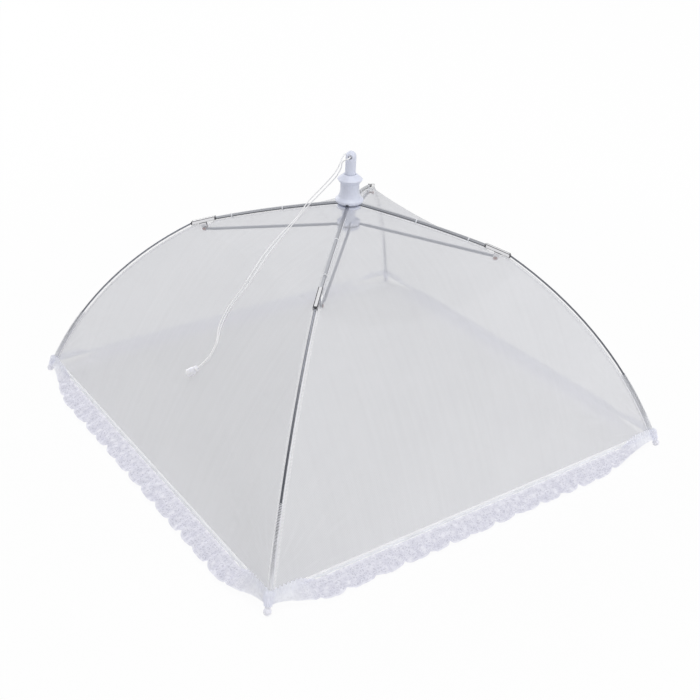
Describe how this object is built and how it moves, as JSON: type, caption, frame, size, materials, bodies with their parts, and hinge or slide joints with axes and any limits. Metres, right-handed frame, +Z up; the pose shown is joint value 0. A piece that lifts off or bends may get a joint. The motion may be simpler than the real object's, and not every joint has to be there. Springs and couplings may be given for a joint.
{
  "type": "mesh food cover umbrella",
  "caption": "Square pop-up food cover: sewn mesh panels with a lace hem on ribs that fold like a small umbrella, with a pull cord through the crown's post.",
  "frame": {"origin": "on the surface that the cover stands on, below the crown's axis", "axes": "+Z up along the post; the hem's sides lie along X and Y, and the ribs lie on the diagonals"},
  "size_m": [0.423, 0.423, 0.2405],
  "materials": {
    "plastic": "moulded, faintly lavender white",
    "milky_plastic": "milky",
    "steel": "drawn, dull zinc",
    "spring_wire": "drawn wire",
    "tie_wire": "drawn wire",
    "clip_steel": "pressed, dark",
    "rivet": "copper brown, tarnished",
    "net": "fine open polyester mesh",
    "binding": "folded tape",
    "lace": "gathered lace",
    "cord": "thin cord"
  },
  "bodies": {
    "crown": {"crown": "plastic", "crown_tie_wire": "tie_wire", "cord_stopper": "milky_plastic", "front_net": "net", "front_hem_binding": "binding", "front_lace_trim": "lace", "right_net": "net", "right_hem_binding": "binding", "right_lace_trim": "lace", "back_net": "net", "back_hem_binding": "binding", "back_lace_trim": "lace", "left_net": "net", "left_hem_binding": "binding", "left_lace_trim": "lace", "pull_cord": "cord"},
    "runner": {"runner": "plastic", "runner_tie_wire": "tie_wire", "pull_post": "plastic"},
    "front_left_rib": {"front_left_upper_rib": "steel", "front_left_rib_clip": "clip_steel", "front_left_clip_rivet": "rivet", "front_left_lower_rib": "spring_wire", "front_left_tip_cap": "plastic"},
    "front_left_stretcher": {"front_left_stretcher": "steel", "front_left_rivet_head": "rivet"},
    "front_right_rib": {"front_right_upper_rib": "steel", "front_right_rib_clip": "clip_steel", "front_right_clip_rivet": "rivet", "front_right_lower_rib": "spring_wire", "front_right_tip_cap": "plastic"},
    "front_right_stretcher": {"front_right_stretcher": "steel", "front_right_rivet_head": "rivet"},
    "back_right_rib": {"back_right_upper_rib": "steel", "back_right_rib_clip": "clip_steel", "back_right_clip_rivet": "rivet", "back_right_lower_rib": "spring_wire", "back_right_tip_cap": "plastic"},
    "back_right_stretcher": {"back_right_stretcher": "steel", "back_right_rivet_head": "rivet"},
    "back_left_rib": {"back_left_upper_rib": "steel", "back_left_rib_clip": "clip_steel", "back_left_clip_rivet": "rivet", "back_left_lower_rib": "spring_wire", "back_left_tip_cap": "plastic"},
    "back_left_stretcher": {"back_left_stretcher": "steel", "back_left_rivet_head": "rivet"}
  },
  "joints": [
    {"name": "runner_slide", "type": "slide", "parent": "crown", "child": "runner", "axis": [0, 0, -1], "range_m": [0, 0.20751], "deforming": ["front_net", "front_hem_binding", "front_lace_trim", "right_net", "right_hem_binding", "right_lace_trim", "back_net", "back_hem_binding", "back_lace_trim", "left_net", "left_hem_binding", "left_lace_trim", "pull_cord"]},
    {"name": "front_left_rib_fold", "type": "hinge", "parent": "crown", "child": "front_left_rib", "pos_m": [-0.00566, -0.00566, 0.196], "axis": [0.7071, -0.7071, 0], "range_deg": [0, 54.76]},
    {"name": "front_left_stretcher_swing", "type": "hinge", "parent": "runner", "child": "front_left_stretcher", "pos_m": [-0.00361, -0.00714, 0.178], "axis": [-0.7071, 0.7071, 0], "range_deg": [0, 79.2]},
    {"name": "front_right_rib_fold", "type": "hinge", "parent": "crown", "child": "front_right_rib", "pos_m": [0.00566, -0.00566, 0.196], "axis": [0.7071, 0.7071, 0], "range_deg": [0, 54.76]},
    {"name": "front_right_stretcher_swing", "type": "hinge", "parent": "runner", "child": "front_right_stretcher", "pos_m": [0.00714, -0.00361, 0.178], "axis": [-0.7071, -0.7071, 0], "range_deg": [0, 79.2]},
    {"name": "back_right_rib_fold", "type": "hinge", "parent": "crown", "child": "back_right_rib", "pos_m": [0.00566, 0.00566, 0.196], "axis": [-0.7071, 0.7071, 0], "range_deg": [0, 54.76]},
    {"name": "back_right_stretcher_swing", "type": "hinge", "parent": "runner", "child": "back_right_stretcher", "pos_m": [0.00361, 0.00714, 0.178], "axis": [0.7071, -0.7071, 0], "range_deg": [0, 79.2]},
    {"name": "back_left_rib_fold", "type": "hinge", "parent": "crown", "child": "back_left_rib", "pos_m": [-0.00566, 0.00566, 0.196], "axis": [-0.7071, -0.7071, 0], "range_deg": [0, 54.76]},
    {"name": "back_left_stretcher_swing", "type": "hinge", "parent": "runner", "child": "back_left_stretcher", "pos_m": [-0.00714, 0.00361, 0.178], "axis": [0.7071, 0.7071, 0], "range_deg": [0, 79.2]}
  ],
  "couplings": [
    {"joint": "front_left_rib_fold", "follows": "runner_slide", "rad_per_m": 4.605},
    {"joint": "front_left_stretcher_swing", "follows": "runner_slide", "rad_per_m": 6.66},
    {"joint": "front_right_rib_fold", "follows": "runner_slide", "rad_per_m": 4.605},
    {"joint": "front_right_stretcher_swing", "follows": "runner_slide", "rad_per_m": 6.66},
    {"joint": "back_right_rib_fold", "follows": "runner_slide", "rad_per_m": 4.605},
    {"joint": "back_right_stretcher_swing", "follows": "runner_slide", "rad_per_m": 6.66},
    {"joint": "back_left_rib_fold", "follows": "runner_slide", "rad_per_m": 4.605},
    {"joint": "back_left_stretcher_swing", "follows": "runner_slide", "rad_per_m": 6.66}
  ]
}
